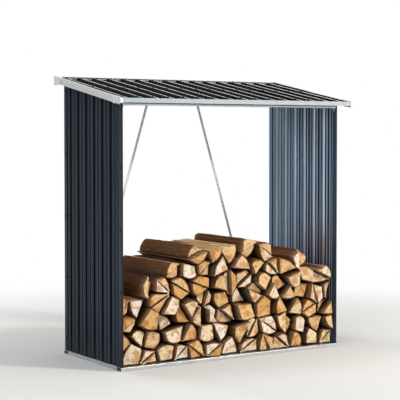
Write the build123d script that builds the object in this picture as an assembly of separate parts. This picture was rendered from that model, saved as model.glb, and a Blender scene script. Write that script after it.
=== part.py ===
# Log store of ribbed sheet steel, open at the front and at the back, filled with split logs.
# Millimetres, +Z up, the open front faces -Y, origin on the ground at the middle of the plan.

from build123d import *
import itertools
import math
import os
import random

os.makedirs("parts", exist_ok=True)

# Plan and heights
wall_width = 1410.0
wall_depth = 654.0
side_overhang = 47.5
front_overhang = 78.0
back_overhang = 18.0
roof_front_height = 1405.0
roof_slope = 10.3

# Fits between pieces
seat = 0.3

# Base frame of folded rails
sill_gauge = 1.5
sill_height = 20.0
sill_flange = 50.0
sill_lip = 14.0
sill_foot = 12.0
sill_proud = 4.0

# Channel posts at the corners
post_gauge = 1.2
post_depth = 30.0
wall_thickness = 10.0
post_setback = 2.0

# Ribbed wall sheets
sheet_gauge = 1.0
wall_pitch = 91.5
first_groove = 119.5
groove_depth = 6.0
groove_mouth = 18.0
groove_floor = 12.0
ridge_height = 1.3
ridge_width = 15.0
ridge_crest = 7.0
ridge_spacing = 32.0
wall_edge_inset = 4.0
sheet_radius = 0.8
slight_crease = 30.0

# Top frame
frame_gauge = 1.5
header_height = 35.0
header_flange = 25.0
rail_height = 30.0
rail_flange = 25.0
bracket_width = 24.0
bracket_height = 16.0
bracket_leg = 14.0

# Ribbed roof sheets
roof_rib_count = 16
roof_rib_margin = 57.25
roof_sheet_count = 4
rib_height = 9.0
rib_foot = 22.0
rib_crest = 9.0
lap_lip = 8.0
fold_radius = 1.6

# Roof edge trims and corner caps
trim_gauge = 1.2
fascia_height = 22.0
fascia_lip = 12.0
fascia_return = 8.0
side_trim_height = 34.0
side_trim_lip = 16.0
side_trim_step = 14.0
side_trim_crank = 2.5
side_trim_lap = 40.0
side_trim_joint = 330.0
cap_wall = 2.0
cap_side_leg = 75.0
cap_front_leg = 14.0
cap_depth = 25.0
cap_rounding = 1.5

# Bracing bars across the open back
brace_width = 15.0
brace_gauge = 2.0
brace_top_offset = 138.0
brace_foot_offset = 595.0
brace_end_clear = 1.0

# Stack of split logs
log_course_count = 7
log_course_height = 88.0
settled_share = 0.9
logs_across_count = 13
log_uneven_share = 0.27
log_shortest_side = 22.0
log_looseness = 14.0
halved_share = 0.5
log_corner_counts = (3, 4)
bark_full_share = 0.72
bark_step_count = 12
log_front_inset = 46.0
log_back_inset = 46.0
log_end_scatter = 34.0
log_bearing = 15.0
log_shorter_by = 110.0
pile_crest_share = 0.43
pile_left_share = 0.4
pile_left_curve = 1.6
pile_right_share = 0.38
pile_right_curve = 3.6
under_top_share = 0.45
log_seed = 23

# Places worked out from the sizes above
x_wall = wall_width / 2
x_roof = x_wall + side_overhang
roof_depth = front_overhang + wall_depth + back_overhang
y_roof_front = -roof_depth / 2
y_roof_back = roof_depth / 2
y_front = y_roof_front + front_overhang
y_back = y_front + wall_depth
slope = math.radians(roof_slope)
rise = math.tan(slope)
edge_drop = trim_gauge + seat
crest_drop = edge_drop + sheet_gauge + seat
pan_drop = crest_drop + rib_height + sheet_gauge
frame_drop = pan_drop + seat
x_inside = x_wall - wall_thickness


def roof_level(y, drop):
    """Height of the roof's top line at y, lowered square to the slope by drop."""
    return roof_front_height + (y - y_roof_front) * rise - drop / math.cos(slope)


def offset_points(points, distance):
    """Moves an open outline sideways by distance, to its left, with mitred corners."""
    shifted = []
    last = len(points) - 1
    for i, (x, y) in enumerate(points):
        before = points[max(i - 1, 0)]
        after = points[min(i + 1, last)]
        directions = []
        if i > 0:
            directions.append((x - before[0], y - before[1]))
        if i < last:
            directions.append((after[0] - x, after[1] - y))
        normals = []
        for dx, dy in directions:
            length = math.hypot(dx, dy)
            normals.append((-dy / length, dx / length))
        nx = sum(n[0] for n in normals) / len(normals)
        ny = sum(n[1] for n in normals) / len(normals)
        square = nx * nx + ny * ny
        shifted.append((x + nx * distance / square, y + ny * distance / square))
    return shifted


def turn_at(a, b, c):
    """Angle in degrees by which the way from a to b turns left towards c."""
    before = math.atan2(b[1] - a[1], b[0] - a[0])
    after = math.atan2(c[1] - b[1], c[0] - b[0])
    return math.degrees(math.remainder(after - before, math.tau))


def bend_radii(points, inner, gauge):
    """Fold radii along a sheet's first side and along its other side; slight creases stay sharp."""
    first = []
    other = []
    for a, b, c in zip(points, points[1:], points[2:]):
        turn = turn_at(a, b, c)
        if abs(turn) < slight_crease:
            radii = (0.0, 0.0)
        elif (turn > 0) == (gauge > 0):
            radii = (inner + abs(gauge), inner)
        else:
            radii = (inner, inner + abs(gauge))
        first.append(radii[0])
        other.append(radii[1])
    return first, other


def folded(points, gauge, radius=0.0):
    """Face of a folded sheet: one side follows the points, the metal lies to their left, or right if negative."""
    other = offset_points(points, gauge)
    if radius > 0:
        first_radii, other_radii = bend_radii(points, radius, gauge)
        side_a = FilletPolyline(*points, radius=first_radii)
        side_b = FilletPolyline(*other, radius=other_radii)
    else:
        side_a = Polyline(*points)
        side_b = Polyline(*other)
    end_a = Line(points[0], other[0])
    end_b = Line(points[-1], other[-1])
    return make_face([*side_a.edges(), *side_b.edges(), end_a.edge(), end_b.edge()])


def across(face, x0, x1):
    """Extrudes an outline drawn in (y, z) from x0 to x1."""
    plane = Plane(origin=(x0, 0, 0), x_dir=(0, 1, 0), z_dir=(1, 0, 0))
    return extrude(plane * face, amount=x1 - x0)


def along(face, y0, y1):
    """Extrudes an outline drawn in (x, z) from y0 to y1."""
    plane = Plane(origin=(0, y1, 0), x_dir=(1, 0, 0), z_dir=(0, -1, 0))
    return extrude(plane * face, amount=y1 - y0)


def upward(face, z0, z1):
    """Extrudes an outline drawn in (x, y) from z0 to z1."""
    return extrude(Plane(origin=(0, 0, z0)) * face, amount=z1 - z0)


def down_slope(face, y0, y1):
    """Extrudes an outline drawn square to the roof, x across and y off the top line, from y0 to y1."""
    back = (0, y1, roof_level(y1, 0))
    plane = Plane(origin=back, x_dir=(1, 0, 0), z_dir=(0, -math.cos(slope), -math.sin(slope)))
    return extrude(plane * face, amount=(y1 - y0) / math.cos(slope))


def between(solid, y0, y1):
    """Keeps what lies between two upright planes across the store."""
    block = Box(2 * wall_width, y1 - y0, 2 * (roof_front_height + roof_depth))
    return solid & Pos(0, (y0 + y1) / 2, 0) * block


def under_roof(solid, drop):
    """Cuts off what stands above the roof's top line lowered by drop."""
    y0 = y_roof_front - roof_depth
    y1 = y_roof_back + roof_depth
    corners = [
        (y0, roof_level(y0, drop)),
        (y1, roof_level(y1, drop)),
        (y1, roof_level(y1, drop) + roof_front_height),
        (y0, roof_level(y0, drop) + roof_front_height),
    ]
    above = across(make_face(Polyline(*corners, close=True)), -wall_width, wall_width)
    return solid - above


def flip(solid):
    """The same piece on the other side of the store."""
    return mirror(solid, about=Plane.YZ)


def sill_points():
    """Base rail seen from its end, for a face at 0: foot, face, top flange and lip."""
    return [
        (sill_foot, 0.0),
        (0.0, 0.0),
        (0.0, sill_height),
        (sill_flange, sill_height),
        (sill_flange, sill_height - sill_lip),
    ]


def make_sills():
    """Front and back rails run the full width, and the side rails butt between them."""
    half = x_wall + sill_proud
    front_points = [(y_front + a, b) for a, b in sill_points()]
    front = across(folded(front_points, -sill_gauge, fold_radius), -half, half)
    back_points = [(y_back - a, b) for a, b in sill_points()]
    back = across(folded(back_points, sill_gauge, fold_radius), -half, half)
    side_points = [(-half + a, b) for a, b in sill_points()]
    y0 = y_front + sill_flange + seat
    y1 = y_back - sill_flange - seat
    left = along(folded(side_points, -sill_gauge, fold_radius), y0, y1)
    return {"sill_front": front, "sill_back": back, "sill_left": left, "sill_right": flip(left)}


def make_posts():
    """Channels that stand on the base rails and grip the upright edges of the wall sheets."""
    foot = sill_height + seat
    tall = roof_front_height + roof_depth
    posts = {}
    for name, face_y, inward in (("front", y_front + post_setback, 1), ("back", y_back - post_setback, -1)):
        leg_y = face_y + inward * post_depth
        points = [(-x_inside, leg_y), (-x_inside, face_y), (-x_wall, face_y), (-x_wall, leg_y)]
        post = upward(folded(points, -inward * post_gauge), foot, tall)
        post = under_roof(post, frame_drop)
        posts["post_" + name + "_left"] = post
        posts["post_" + name + "_right"] = flip(post)
    return posts


def wall_groove(y, x_out):
    """One groove of a wall sheet, pressed inwards from the line x_out."""
    mouth = groove_mouth / 2
    floor = groove_floor / 2
    x_floor = x_out + groove_depth
    return [(x_out, y - mouth), (x_floor, y - floor), (x_floor, y + floor), (x_out, y + mouth)]


def wall_ridges(y0, y1, x_out):
    """Two low stiffening ridges in the middle of a flat land from y0 to y1."""
    points = []
    x_crest = x_out - ridge_height
    for side in (-1, 1):
        centre = (y0 + y1 + side * ridge_spacing) / 2
        points.append((x_out, centre - ridge_width / 2))
        points.append((x_crest, centre - ridge_crest / 2))
        points.append((x_crest, centre + ridge_crest / 2))
        points.append((x_out, centre + ridge_width / 2))
    return points


def make_walls():
    """Two ribbed sheets a side, lapped in a middle groove, with their edges inside the posts."""
    y_start = y_front + post_setback + wall_edge_inset
    y_end = y_back - post_setback - wall_edge_inset
    x_out = -x_wall + post_gauge + seat + ridge_height
    mouth = groove_mouth / 2
    lift = sheet_gauge + seat
    grooves = []
    y = y_front + first_groove
    while y < y_back - post_depth - groove_mouth:
        grooves.append(y)
        y += wall_pitch
    lap = len(grooves) // 2
    front = [(x_out, y_start)]
    for y in grooves[: lap + 1]:
        front += wall_ridges(y - wall_pitch + mouth, y - mouth, x_out)
        front += wall_groove(y, x_out)
    y = grooves[lap]
    lapped = [(x_out, y - mouth - lap_lip)] + wall_groove(y, x_out) + [(x_out, y + mouth + lap_lip)]
    back = offset_points(lapped, lift)[:-1]
    back += [(x_out - lift, y + mouth + lift), (x_out, y + mouth + lap_lip)]
    for y in grooves[lap + 1:]:
        back += wall_ridges(y - wall_pitch + mouth, y - mouth, x_out)
        back += wall_groove(y, x_out)
    back.append((x_out, y_end))
    sheets = {}
    for name, points in (("front", front), ("back", back)):
        profile = folded(points, -sheet_gauge, sheet_radius)
        sheet = upward(profile, sill_height + seat, roof_front_height + roof_depth)
        sheet = under_roof(sheet, frame_drop)
        sheets["wall_left_" + name] = sheet
        sheets["wall_right_" + name] = flip(sheet)
    return sheets


def make_top_frame():
    """Headers between the posts, angle rails along the wall tops and small end brackets."""
    reach = x_inside - seat
    pieces = {}
    front_bottom = roof_level(y_front, frame_drop) - header_height
    back_bottom = roof_level(y_back, frame_drop) - header_height
    front_points = [
        (y_front + header_flange, front_bottom),
        (y_front, front_bottom),
        (y_front, roof_level(y_front, frame_drop)),
        (y_front + header_flange, roof_level(y_front + header_flange, frame_drop)),
    ]
    pieces["header_front"] = across(folded(front_points, -frame_gauge, fold_radius), -reach, reach)
    back_points = [
        (y_back - header_flange, back_bottom),
        (y_back, back_bottom),
        (y_back, roof_level(y_back, frame_drop)),
        (y_back - header_flange, roof_level(y_back - header_flange, frame_drop)),
    ]
    pieces["header_back"] = across(folded(back_points, frame_gauge, fold_radius), -reach, reach)
    x_leg = -x_wall + post_gauge + seat + ridge_height + groove_depth + sheet_gauge + seat
    rail_points = [
        (x_leg + rail_flange, -frame_drop),
        (x_leg, -frame_drop),
        (x_leg, -frame_drop - rail_height),
    ]
    y0 = y_front + post_setback + post_depth + seat
    y1 = y_back - post_setback - post_depth - seat
    rail = down_slope(folded(rail_points, frame_gauge, fold_radius), y_roof_front, y_roof_back)
    rail = between(rail, y0, y1)
    pieces["rail_left"] = rail
    pieces["rail_right"] = flip(rail)
    brackets = []
    for bottom, y_mid in (
        (front_bottom, y_front + header_flange / 2),
        (back_bottom, y_back - header_flange / 2),
    ):
        x_face = -x_inside + seat
        z_top = bottom - seat
        angle = [(x_face, z_top - bracket_height), (x_face, z_top), (x_face + bracket_width, z_top)]
        bracket = along(
            folded(angle, -frame_gauge, fold_radius), y_mid - bracket_leg / 2, y_mid + bracket_leg / 2
        )
        brackets += [bracket, flip(bracket)]
    pieces["header_brackets"] = Compound(children=[part_solid(b) for b in brackets])
    return pieces


def part_solid(shape):
    """The one solid of a built piece."""
    return shape.solids()[0]


def roof_rib(x):
    """One upstanding rib of a roof sheet, on its upper side."""
    foot = rib_foot / 2
    crest = rib_crest / 2
    low = -crest_drop - rib_height
    return [(x - foot, low), (x - crest, -crest_drop), (x + crest, -crest_drop), (x + foot, low)]


def make_roof_sheets():
    """Ribbed sheets from eave to back edge, each lapped over the last rib of the one before."""
    low = -crest_drop - rib_height
    foot = rib_foot / 2
    lift = sheet_gauge + seat
    x_edge = x_roof - trim_gauge - seat - sheet_gauge
    y0 = y_roof_front + trim_gauge + seat
    y1 = y_roof_back - trim_gauge - seat - pan_drop * math.sin(slope)
    pitch = 2 * (x_roof - roof_rib_margin) / (roof_rib_count - 1)
    ribs = [(i - (roof_rib_count - 1) / 2) * pitch for i in range(roof_rib_count)]
    sheets = {}
    for k in range(roof_sheet_count):
        first = k * roof_rib_count // roof_sheet_count
        last = min((k + 1) * roof_rib_count // roof_sheet_count, roof_rib_count - 1)
        if k == 0:
            points = [(-x_edge, -edge_drop), (-x_edge, low)]
            points += roof_rib(ribs[0])
        else:
            x = ribs[first]
            lapped = [(x - foot - lap_lip, low)] + roof_rib(x) + [(x + foot + lap_lip, low)]
            points = offset_points(lapped, lift)[:-1]
            points[-1] = (x + foot + lift, low + lift)
            points.append((x + foot + lap_lip, low))
        for x in ribs[first + 1: last + 1]:
            points += roof_rib(x)
        if k == roof_sheet_count - 1:
            points += [(x_edge, low), (x_edge, -edge_drop)]
        sheets["roof_sheet_" + str(k + 1)] = down_slope(folded(points, -sheet_gauge), y0, y1)
    return sheets


def make_fascias():
    """Folded trims that close the front and back edges of the roof, lipped over the rib crests."""
    fascias = {}
    for name, face_y, inward in (("front", y_roof_front, 1), ("back", y_roof_back, -1)):
        top = roof_level(face_y, 0)
        lip_y = face_y + inward * fascia_lip
        points = [
            (face_y + inward * fascia_return, top - fascia_height),
            (face_y, top - fascia_height),
            (face_y, top),
            (lip_y, roof_level(lip_y, 0)),
        ]
        fascias["fascia_" + name] = across(folded(points, -inward * trim_gauge), -x_roof, x_roof)
    return fascias


def make_side_trims():
    """Cranked trims along the sloping edges, in two lengths that lap."""
    points = [
        (-x_roof + side_trim_lip, 0.0),
        (-x_roof, 0.0),
        (-x_roof, -side_trim_step),
        (-x_roof + side_trim_crank, -side_trim_step - side_trim_crank),
        (-x_roof + side_trim_crank, -side_trim_height),
    ]
    joint = y_front + side_trim_joint
    ends = (y_roof_front + fascia_lip + seat, y_roof_back - fascia_lip - seat)
    under = down_slope(folded(points, trim_gauge), y_roof_front, y_roof_back)
    over_points = offset_points(points, -trim_gauge - seat)
    over = down_slope(folded(over_points, trim_gauge), y_roof_front, y_roof_back)
    front = between(under, ends[0], joint + side_trim_lap / 2)
    back = between(over, joint - side_trim_lap / 2, ends[1])
    return {
        "trim_left_front": front,
        "trim_left_back": back,
        "trim_right_front": flip(front),
        "trim_right_back": flip(back),
    }


def make_caps():
    """Moulded corner caps, open below and inwards, that cover the ends of the trims."""
    caps = {}
    for name, face_y, inward, extra in (
        ("front", y_roof_front, 1, 0.0),
        ("back", y_roof_back, -1, trim_gauge + seat),
    ):
        gap = seat + extra
        bottom = roof_level(face_y, 0) - cap_depth
        end_y = face_y + inward * cap_side_leg
        if inward < 0:
            bottom = roof_level(end_y, 0) - side_trim_height
        shells = []
        for grow, beyond, below in ((gap + cap_wall, 0.0, 0.0), (gap, cap_side_leg, cap_depth)):
            far_y = end_y + inward * beyond
            near_y = face_y - inward * (grow - extra)
            corners = [
                (near_y, bottom - below),
                (far_y, bottom - below),
                (far_y, roof_level(far_y, -grow)),
                (near_y, roof_level(near_y, -grow)),
            ]
            outline = make_face(Polyline(*corners, close=True))
            shells.append(across(outline, -x_roof - grow, -x_roof + cap_front_leg + beyond))
        outer, inner = shells
        corner_edges = outer.edges().filter_by(Axis.Z).sort_by(lambda e: inward * e.center().Y)
        outer_corner = corner_edges[:2].sort_by(Axis.X)[0]
        cap = fillet(outer_corner, cap_rounding) - inner
        caps["cap_" + name + "_left"] = cap
        caps["cap_" + name + "_right"] = flip(cap)
    return caps


def make_braces():
    """Flat bars on the outside of the open back, from the base rail up to the header."""
    foot_z = brace_width / 2 + brace_end_clear
    top_z = roof_level(y_back, frame_drop) - header_height / 2
    dx = brace_foot_offset - brace_top_offset
    dz = top_z - foot_z
    bar = SlotCenterToCenter(math.hypot(dx, dz), brace_width)
    tilt = math.degrees(math.atan2(dz, dx))
    middle = (-(brace_foot_offset + brace_top_offset) / 2, (foot_z + top_z) / 2)
    placed = Pos(middle[0], middle[1]) * Rot(0, 0, tilt) * bar
    y0 = y_back + seat
    left = along(placed, y0, y0 + brace_gauge)
    return {"brace_left": left, "brace_right": flip(left)}


def sides_of(corners):
    """Sides of a closed outline, each from a corner to the next."""
    return list(zip(corners, corners[1:] + corners[:1]))


def area_of(corners):
    """Area of a closed outline that runs anticlockwise."""
    return sum(a[0] * b[1] - b[0] * a[1] for a, b in sides_of(corners)) / 2


def middle_of(corners):
    """Mean of the corners."""
    return (sum(p[0] for p in corners) / len(corners), sum(p[1] for p in corners) / len(corners))


def room_centres(rng):
    """Middles of the rooms that the logs start in: staggered courses with some unevenness."""
    reach = x_inside - seat
    spacing = 2 * reach / logs_across_count
    height = log_course_height / settled_share
    centres = []
    for k in range(log_course_count + 1):
        stagger = (1 - k % 2) / 2
        for i in range(logs_across_count + k % 2):
            x = -reach + (i + stagger + rng.uniform(-log_uneven_share, log_uneven_share)) * spacing
            z = sill_height + (k + 1 / 2 + rng.uniform(-log_uneven_share, log_uneven_share)) * height
            centres.append((min(max(x, -reach + seat), reach - seat), z, k))
    return centres


def clip_outline(outline, a, b, limit):
    """Keeps the part of a closed outline where a x + b z is under the limit."""
    kept = []
    for p, q in sides_of(outline):
        beyond_p = a * p[0] + b * p[1] - limit
        beyond_q = a * q[0] + b * q[1] - limit
        if beyond_p <= 0:
            kept.append(p)
        if beyond_p * beyond_q < 0:
            share = beyond_p / (beyond_p - beyond_q)
            kept.append((p[0] + share * (q[0] - p[0]), p[1] + share * (q[1] - p[1])))
    return kept


def room_of(centre, centres):
    """Outline of one room, halfway to each of its neighbours, without its shortest sides."""
    reach = x_inside - seat
    top = sill_height + (log_course_count + 1) * log_course_height / settled_share
    room = [(-reach, sill_height), (reach, sill_height), (reach, top), (-reach, top)]
    x0, z0, _ = centre
    for other in centres:
        if other != centre:
            x1, z1, _ = other
            limit = (x1 * x1 - x0 * x0 + z1 * z1 - z0 * z0) / 2
            room = clip_outline(room, x1 - x0, z1 - z0, limit)
    return [p for p, q in sides_of(room) if math.dist(p, q) > log_shortest_side]


def largest_piece(room, count):
    """The largest outline that uses count of a room's corners."""
    return max(itertools.combinations(room, min(count, len(room))), key=lambda c: area_of(list(c)))


def split_room(room):
    """Halves of a room, split from corner to corner as evenly as it goes."""
    best = None
    for i in range(len(room)):
        for j in range(i + 2, len(room) - (i == 0)):
            halves = (room[i: j + 1], room[j:] + room[: i + 1])
            worst = min(area_of(halves[0]), area_of(halves[1]))
            if best is None or worst > best[0]:
                best = (worst, halves)
    return best[1] if best else (room,)


def outward_of(start, end):
    """Direction square to a side, away from an outline that runs anticlockwise."""
    length = math.dist(start, end)
    return (end[1] - start[1]) / length, (start[0] - end[0]) / length


def bark_rise(walls, start, end):
    """Rise of the fullest arc from start to end that stays inside the walls of its room."""
    if len(walls) < 2:
        return 0.0
    nx, nz = outward_of(start, end)
    mx, mz = middle_of([start, end])
    half = math.dist(start, end) / 2
    rises = [half]
    for p, q in walls:
        wx, wz = outward_of(p, q)
        reach = wx * (p[0] - mx) + wz * (p[1] - mz)
        facing = nx * wx + nz * wz
        spread = half * math.sqrt(max(1 - facing * facing, 0.0))
        rises.append((reach + math.sqrt(max(reach * reach - spread * spread, 0.0))) / (1 + facing))
    return bark_full_share * min(rises)


def log_sides(room, corners, rng):
    """Sides of one log as start, end and rise: its fullest side is bark and bows out, the others are split."""
    mx, mz = middle_of(corners)
    loose = []
    for x, z in corners:
        pull = rng.uniform(seat, log_looseness) / math.dist((x, z), (mx, mz))
        loose.append((x + (mx - x) * pull, z + (mz - z) * pull))
    sides = []
    for (a, b), (start, end) in zip(sides_of(corners), sides_of(loose)):
        i = room.index(a)
        turned = room[i:] + room[: i + 1]
        walls = sides_of(turned)[: turned.index(b)]
        sides.append((start, end, bark_rise(walls, start, end)))
    fullest = max(rise for _, _, rise in sides)
    return [(start, end, rise if rise == fullest else 0.0) for start, end, rise in sides]


def log_outline(sides):
    """Closed outline that encloses a log's end closely, with short straight lines round its bark."""
    outline = []
    for start, end, rise in sides:
        outline.append(start)
        if rise > 0:
            nx, nz = outward_of(start, end)
            mx, mz = middle_of([start, end])
            chord = math.dist(start, end)
            half_turn = 2 * math.atan(2 * rise / chord)
            radius = chord / 2 / math.sin(half_turn)
            step = 2 * half_turn / bark_step_count
            for i in range(bark_step_count):
                turn = (i + 1 / 2) * step - half_turn
                forward = radius * math.sin(turn) / math.cos(step / 2)
                outward = radius * (math.cos(turn) / math.cos(step / 2) - math.cos(half_turn))
                outline.append((mx - nz * forward + nx * outward, mz + nx * forward + nz * outward))
    return outline


def level_at(outline, x, pick):
    """Highest or lowest level of an outline at x, as pick is max or min."""
    levels = []
    for (x0, z0), (x1, z1) in sides_of(outline):
        if x0 != x1 and min(x0, x1) <= x <= max(x0, x1):
            levels.append(z0 + (z1 - z0) * (x - x0) / (x1 - x0))
    return pick(levels)


def shared_width(outline, other):
    """Where two outlines have the same x, from the first place to the last."""
    low = max(min(x for x, z in outline), min(x for x, z in other))
    high = min(max(x for x, z in outline), max(x for x, z in other))
    return low, high


def lies_over(outline, other):
    """True where one log is above another in the stack."""
    low, high = shared_width(outline, other)
    x = (low + high) / 2
    return low < high and level_at(outline, x, min) > level_at(other, x, min)


def drop_of(outline, settled):
    """How far a log comes down until it rests on the logs under it or on the base rails."""
    drops = [min(z for x, z in outline) - sill_height]
    for other in settled:
        low, high = shared_width(outline, other)
        if low < high:
            places = [low, high] + [x for x, z in outline + other if low < x < high]
            drops += [level_at(outline, x, min) - level_at(other, x, max) for x in places]
    return min(drops) - seat


def pile_top(x):
    """Height of the stack at x: a crest left of the middle that falls away to both walls."""
    reach = x_inside - seat
    crest_x = (2 * pile_crest_share - 1) * reach
    if x < crest_x:
        fall = pile_left_share * ((crest_x - x) / (crest_x + reach)) ** pile_left_curve
    else:
        fall = pile_right_share * ((x - crest_x) / (reach - crest_x)) ** pile_right_curve
    return sill_height + (1 - fall) * log_course_count * log_course_height


def log_solid(sides, drop, front, back):
    """One log from front to back, lowered by drop."""
    edges = []
    for start, end, rise in sides:
        a = (start[0], start[1] - drop)
        b = (end[0], end[1] - drop)
        if rise > 0:
            nx, nz = outward_of(a, b)
            mx, mz = middle_of([a, b])
            edges.append(ThreePointArc(a, (mx + nx * rise, mz + nz * rise), b).edge())
        else:
            edges.append(Line(a, b).edge())
    return part_solid(along(make_face(edges), front, back))


def make_logs():
    """Courses of split logs that lie from front to back on the base rails and on each other."""
    centres = room_centres(random.Random(log_seed))
    logs = []
    for i, centre in enumerate(centres):
        x, z, k = centre
        middle = sill_height + (z - sill_height) * settled_share
        if k == log_course_count or middle > pile_top(x) - under_top_share * log_course_height:
            continue
        rng = random.Random(log_seed + i)
        fronts = [y_front + log_front_inset + rng.uniform(-log_end_scatter, log_end_scatter) for _ in range(2)]
        backs = [y_back - log_back_inset + rng.uniform(-log_end_scatter, log_end_scatter) for _ in range(2)]
        if k > 1:
            backs = [back - rng.uniform(0, log_shorter_by) for back in backs]
        room = room_of(centre, centres)
        parts = split_room(room) if rng.random() < halved_share else (room,)
        for part, front, back in zip(parts, fronts, backs):
            corners = largest_piece(part, rng.choice(log_corner_counts))
            sides = log_sides(part, list(corners), rng)
            logs.append((k, front, back, sides, log_outline(sides)))
    settled = []
    courses = [[] for _ in range(log_course_count)]
    while logs:
        outlines = [log[-1] for log in logs]
        lowest = next(i for i, one in enumerate(outlines) if not any(lies_over(one, o) for o in outlines))
        k, front, back, sides, outline = logs.pop(lowest)
        drop = drop_of(outline, settled)
        if min(level for _, level in outline) - drop < sill_height + 2 * seat:
            front = min(front, y_front + sill_flange - log_bearing)
            back = max(back, y_back - sill_flange + log_bearing)
        settled.append([(place, level - drop) for place, level in outline])
        courses[k].append(log_solid(sides, drop, front, back))
    return {"log_course_" + str(k + 1): Compound(children=course) for k, course in enumerate(courses)}


pieces = {}
pieces.update(make_sills())
pieces.update(make_posts())
pieces.update(make_walls())
pieces.update(make_top_frame())
pieces.update(make_roof_sheets())
pieces.update(make_fascias())
pieces.update(make_side_trims())
pieces.update(make_caps())
pieces.update(make_braces())
pieces.update(make_logs())

for name, piece in pieces.items():
    export_step(piece, os.path.join("parts", name + ".step"))
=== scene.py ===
# Log store of ribbed sheet steel on a galvanised frame, stacked with split firewood.
# Everything is in metres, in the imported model's own frame.

import math
import random

import bmesh
import bpy
import numpy as np
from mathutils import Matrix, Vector, noise


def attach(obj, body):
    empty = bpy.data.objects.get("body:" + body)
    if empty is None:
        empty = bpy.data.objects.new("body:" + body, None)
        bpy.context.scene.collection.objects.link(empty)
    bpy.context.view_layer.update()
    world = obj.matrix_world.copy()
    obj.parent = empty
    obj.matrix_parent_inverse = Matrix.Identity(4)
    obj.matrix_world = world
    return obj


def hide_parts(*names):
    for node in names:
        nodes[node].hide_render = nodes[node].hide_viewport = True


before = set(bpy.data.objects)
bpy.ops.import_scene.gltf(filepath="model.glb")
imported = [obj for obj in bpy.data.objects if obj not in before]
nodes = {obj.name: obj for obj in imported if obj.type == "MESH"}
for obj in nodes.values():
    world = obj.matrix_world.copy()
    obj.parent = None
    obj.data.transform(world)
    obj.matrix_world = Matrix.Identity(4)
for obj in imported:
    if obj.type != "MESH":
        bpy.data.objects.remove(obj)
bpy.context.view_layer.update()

# Camera
# A long lens at chest height, turned to the left front corner of the store. It looks a touch
# down, and the small shift puts the store where the photograph has it.
camera_place = (-3.8056, -5.8876, 1.2249)
camera_turn = 33.166
camera_tip = -1.941
camera_data = bpy.data.cameras.new("Camera")
camera_data.sensor_width = 36.0
camera_data.lens = 112.26
camera_data.shift_x = -0.03
camera_data.shift_y = -0.06
camera_data.clip_end = 100.0
camera = bpy.data.objects.new("Camera", camera_data)
camera.location = camera_place
camera.rotation_euler = (math.radians(90 + camera_tip), 0.0, math.radians(-camera_turn))
bpy.context.collection.objects.link(camera)
bpy.context.scene.camera = camera
bpy.context.scene.view_settings.view_transform = "Standard"

# Floor and light
# A pale seamless studio floor that runs out into a white surround, and soft lamps: a warm key
# from the front right, a cool fill from the left, a wide one overhead and one from behind.
floor_reach = 40.0
fade_start = 1.2
fade_end = 3.4


def linear(code):
    """An sRGB hex colour as linear red, green, blue and alpha."""
    parts = [int(code[i:i + 2], 16) / 255 for i in (0, 2, 4)]
    return [c / 12.92 if c <= 0.04045 else ((c + 0.055) / 1.055) ** 2.4 for c in parts] + [1.0]


def join(tree, node, inputs):
    """Sets a node's inputs, each to a value, to an output or to another node's first live output."""
    for key, value in inputs.items():
        if isinstance(value, bpy.types.Node):
            value = next(output for output in value.outputs if output.enabled)
        if isinstance(value, bpy.types.NodeSocket):
            tree.links.new(value, node.inputs[key])
        else:
            node.inputs[key].default_value = value


def add(tree, kind, inputs=None, stops=None, **settings):
    """Adds a node with its settings, inputs and colour stops. Its kind can go without ShaderNode."""
    node = tree.nodes.new(kind if "Node" in kind else "ShaderNode" + kind)
    for name, value in settings.items():
        setattr(node, name, value)
    join(tree, node, inputs or {})
    for i, (place, code) in enumerate(stops or []):
        marks = node.color_ramp.elements
        mark = marks[i] if i < 2 else marks.new(place)
        mark.position = place
        mark.color = linear(code)
    return node


def seen_directly(tree, path):
    """1 for the rays that show the surround itself: the camera's, and mirrored or refracted ones."""
    shown = add(tree, "Math", {0: path.outputs["Is Camera Ray"], 1: path.outputs["Is Glossy Ray"]},
                operation="MAXIMUM")
    return add(tree, "Math", {0: shown, 1: path.outputs["Is Transmission Ray"]}, operation="MAXIMUM")


floor_mesh = bpy.data.meshes.new("Floor")
floor_corners = [(x * floor_reach, y * floor_reach, 0) for x, y in ((-1, -1), (1, -1), (1, 1), (-1, 1))]
floor_mesh.from_pydata(floor_corners, [], [(0, 1, 2, 3)])
floor = bpy.data.objects.new("Floor", floor_mesh)
bpy.context.collection.objects.link(floor)
floor_paint = bpy.data.materials.new("Matt pale studio paint")
floor_paint.use_nodes = True
tree = floor_paint.node_tree
tree.nodes.clear()
place = add(tree, "TexCoord")
away = add(tree, "VectorMath", {0: place.outputs["Object"]}, operation="LENGTH")
fade = add(tree, "MapRange", {0: away, 1: fade_start, 2: fade_end}, interpolation_type="SMOOTHSTEP")
matt = add(tree, "BsdfDiffuse", {"Color": linear("e9e9e7")})
white = add(tree, "Emission", {"Color": (1, 1, 1, 1), "Strength": 1.0})
shown = seen_directly(tree, add(tree, "LightPath"))
share = add(tree, "Math", {0: shown, 1: fade}, operation="MULTIPLY")
mixed = add(tree, "MixShader", {0: share, 1: matt, 2: white})
add(tree, "OutputMaterial", {"Surface": mixed})
floor_mesh.materials.append(floor_paint)

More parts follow.
